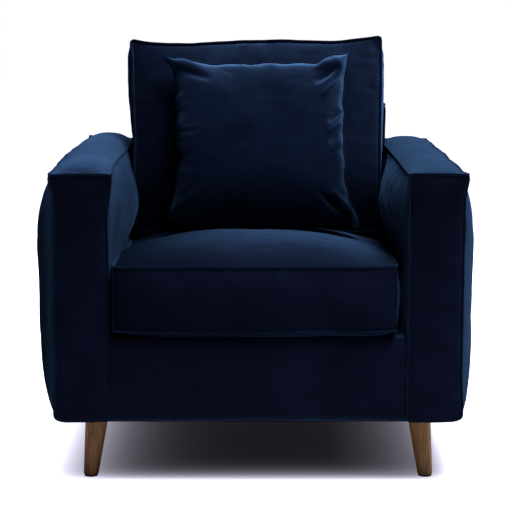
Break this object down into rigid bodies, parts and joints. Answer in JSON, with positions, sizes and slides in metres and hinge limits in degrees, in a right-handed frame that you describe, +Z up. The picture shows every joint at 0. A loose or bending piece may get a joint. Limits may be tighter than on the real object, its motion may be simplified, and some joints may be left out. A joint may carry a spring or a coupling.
{
  "type": "upholstered armchair",
  "caption": "Boxy velvet armchair with welted arms, loose seat and back cushions, a scatter cushion and short tapered splayed wooden legs.",
  "frame": {"origin": "centre of the footprint, on the floor under the glides", "axes": "+Z up; the chair's front faces -Y; +X is the right-hand side for someone who looks at the front"},
  "size_m": [0.914, 0.84, 0.8829],
  "materials": {
    "velvet": "short cut pile, navy blue, paler where seen along the pile",
    "deck_cloth": "plain woven lining in a matching dark blue",
    "underside_cloth": "thin black non-woven cloth",
    "filling": "foam wrapped in fibre",
    "webbing": "woven elastic",
    "leg_wood": "satin lacquer over a walnut-brown stain",
    "frame_wood": "planed, unfinished",
    "steel": "plain",
    "zip_metal": "dark plated",
    "glide_plastic": "moulded, dark brown"
  },
  "bodies": {
    "chair": {"base_runner_left": "frame_wood", "base_runner_right": "frame_wood", "side_rail_left": "frame_wood", "side_rail_right": "frame_wood", "front_rail": "frame_wood", "rear_rail": "frame_wood", "corner_block_front_left": "frame_wood", "corner_block_front_right": "frame_wood", "corner_block_rear_left": "frame_wood", "corner_block_rear_right": "frame_wood", "arm_front_board_left": "frame_wood", "arm_front_board_right": "frame_wood", "arm_rear_board_left": "frame_wood", "arm_rear_board_right": "frame_wood", "arm_top_rail_left": "frame_wood", "arm_top_rail_right": "frame_wood", "back_post_left": "frame_wood", "back_post_right": "frame_wood", "back_top_rail": "frame_wood", "back_lower_rail": "frame_wood", "back_web_1": "webbing", "back_web_2": "webbing", "back_web_3": "webbing", "seat_spring_1": "steel", "seat_spring_2": "steel", "seat_spring_3": "steel", "seat_spring_4": "steel", "spring_channel_front": "steel", "spring_channel_rear": "steel", "leg_front_left": "leg_wood", "leg_front_right": "leg_wood", "leg_rear_left": "leg_wood", "leg_rear_right": "leg_wood", "leg_bolt_front_left": "steel", "leg_bolt_front_right": "steel", "leg_bolt_rear_left": "steel", "leg_bolt_rear_right": "steel", "leg_glide_front_left": "glide_plastic", "leg_glide_front_right": "glide_plastic", "leg_glide_rear_left": "glide_plastic", "leg_glide_rear_right": "glide_plastic", "leg_plate_front_left": "steel", "leg_plate_front_right": "steel", "leg_plate_rear_left": "steel", "leg_plate_rear_right": "steel", "arm_cover_left": "velvet", "arm_cover_right": "velvet", "front_border": "velvet", "back_cover": "velvet", "deck_pad": "deck_cloth", "dust_cover": "underside_cloth"},
    "seat_cushion": {"seat_cushion_cover": "velvet", "seat_cushion_filling": "filling"},
    "seat_zip": {"seat_zip_slider": "zip_metal"},
    "back_cushion": {"back_cushion_cover": "velvet", "back_cushion_filling": "filling"},
    "back_zip": {"back_zip_slider": "zip_metal"},
    "scatter_cushion": {"scatter_cushion_cover": "velvet", "scatter_cushion_filling": "filling"},
    "scatter_zip": {"scatter_zip_slider": "zip_metal"}
  },
  "joints": [
    {"name": "seat_cushion_pull", "type": "slide", "parent": "chair", "child": "seat_cushion", "axis": [0, -1, 0], "range_m": [0, 0.62]},
    {"name": "back_cushion_lift", "type": "slide", "parent": "chair", "child": "back_cushion", "axis": [0, 0.1564, 0.9877], "range_m": [0, 0.45]},
    {"name": "scatter_cushion_lift", "type": "slide", "parent": "seat_cushion", "child": "scatter_cushion", "axis": [0, 0, 1], "range_m": [0, 0.45]},
    {"name": "seat_zip_travel", "type": "slide", "parent": "seat_cushion", "child": "seat_zip", "axis": [-1, 0, 0], "range_m": [0, 0.4]},
    {"name": "back_zip_travel", "type": "slide", "parent": "back_cushion", "child": "back_zip", "axis": [-1, 0, 0], "range_m": [0, 0.4]},
    {"name": "scatter_zip_travel", "type": "slide", "parent": "scatter_cushion", "child": "scatter_zip", "axis": [-1, 0, 0], "range_m": [0, 0.32]}
  ]
}
